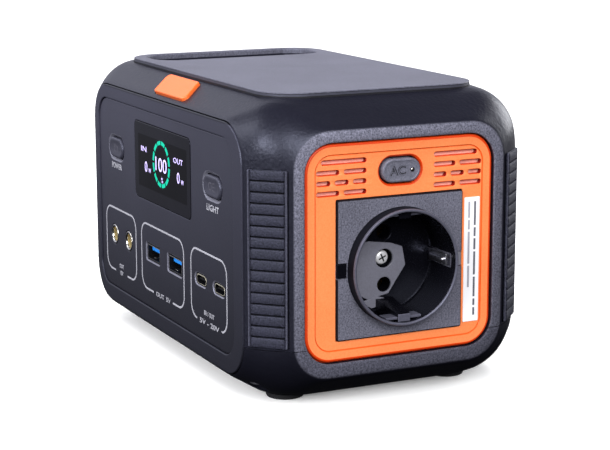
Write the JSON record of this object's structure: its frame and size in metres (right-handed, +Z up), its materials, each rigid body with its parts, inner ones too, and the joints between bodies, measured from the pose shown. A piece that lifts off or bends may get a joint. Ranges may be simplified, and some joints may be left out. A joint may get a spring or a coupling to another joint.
{
  "type": "portable power station",
  "caption": "Box-shaped portable power station with chamfered corners, ribbed corner grips, control panel, earthed mains socket, finger-slot handle and end lamp.",
  "frame": {"origin": "centre of the whole part's footprint, on the surface the feet stand on", "axes": "+X out of the mains socket, -Y out of the control panel, +Z up"},
  "size_m": [0.183, 0.1092, 0.1098],
  "materials": {
    "case_lower": "fine-textured black-grey ABS",
    "case_upper": "fine-textured black-grey ABS, leather-like grain at the corners",
    "top_skin": "light grey satin plastic",
    "liner": "matt dark grey",
    "bezel": "satin dark slate",
    "panel": "satin dark slate",
    "window": "gloss smoked acrylic",
    "lcd": "black module",
    "key": "satin dark grey keys",
    "switch_black": "black moulded switches",
    "nickel": "nickel plated",
    "usb_blue": "blue moulding",
    "usb_gold": "gold flashed",
    "usb_black": "black moulding",
    "pcb": "green solder mask",
    "orange": "fine-textured orange",
    "ac_key": "grey satin",
    "label": "white sticker",
    "socket": "dark grey, gloss inside the well",
    "brass": "stamped",
    "spring_steel": "stamped spring strip",
    "screw_steel": "bright screw",
    "lens": "frosted diffuser",
    "reflector": "metallised",
    "lamp_pcb": "white board with LEDs",
    "fan_black": "black moulding",
    "grip": "ribbed soft-touch pads",
    "foot": "black rubber",
    "case_screw": "zinc plated",
    "holder": "black cell spacers",
    "cell": "shrink sleeve",
    "strip": "nickel strip",
    "ferrite": "ferrite core",
    "winding": "yellow taped winding",
    "capacitor": "sleeved cans",
    "fins": "extruded fins",
    "red_wire": "silicone insulated",
    "brown_wire": "PVC insulated"
  },
  "bodies": {
    "case": {"lower_shell": "case_lower", "upper_shell": "case_upper", "top_plate": "top_skin", "handle_liner": "liner", "front_bezel": "bezel", "control_panel": "panel", "panel_spacers": "holder", "display_window": "window", "display_module": "lcd", "panel_switches": "switch_black", "dc_jacks": "nickel", "usb_a_shells": "nickel", "usb_a_tongues": "usb_blue", "usb_c_shells": "usb_gold", "usb_c_tongues": "usb_black", "control_board": "pcb", "badge": "orange", "ac_end_panel": "orange", "ac_switch_board": "pcb", "rating_label": "label", "socket_body": "socket", "socket_contacts": "brass", "earth_clips": "spring_steel", "socket_screw": "screw_steel", "far_end_panel": "orange", "lamp_lens": "lens", "lamp_reflector": "reflector", "lamp_board": "lamp_pcb", "fan_frame": "fan_black", "corner_grips": "grip", "feet": "foot", "case_screws": "case_screw", "cell_holders": "holder", "battery_cells": "cell", "bus_bars": "strip", "battery_board": "pcb", "inverter_board": "pcb", "transformer_core": "ferrite", "transformer_winding": "winding", "bulk_capacitors": "capacitor", "heat_sink": "fins", "battery_leads": "red_wire", "mains_leads": "brown_wire"},
    "power_key": {"power_button": "key"},
    "light_key": {"light_button": "key"},
    "ac_key": {"ac_button": "ac_key"},
    "fan": {"fan_rotor": "fan_black"}
  },
  "joints": [
    {"name": "power_press", "type": "slide", "parent": "case", "child": "power_key", "axis": [0, 1, 0], "range_m": [0, 0.0005], "stiffness_N_per_m": 300, "springref_m": -0.002},
    {"name": "light_press", "type": "slide", "parent": "case", "child": "light_key", "axis": [0, 1, 0], "range_m": [0, 0.0005], "stiffness_N_per_m": 300, "springref_m": -0.002},
    {"name": "ac_press", "type": "slide", "parent": "case", "child": "ac_key", "axis": [-1, 0, 0], "range_m": [0, 0.0005], "stiffness_N_per_m": 300, "springref_m": -0.002},
    {"name": "fan_spin", "type": "hinge", "parent": "case", "child": "fan", "pos_m": [-0.0823, 0, 0.0335], "axis": [1, 0, 0], "continuous": true}
  ]
}
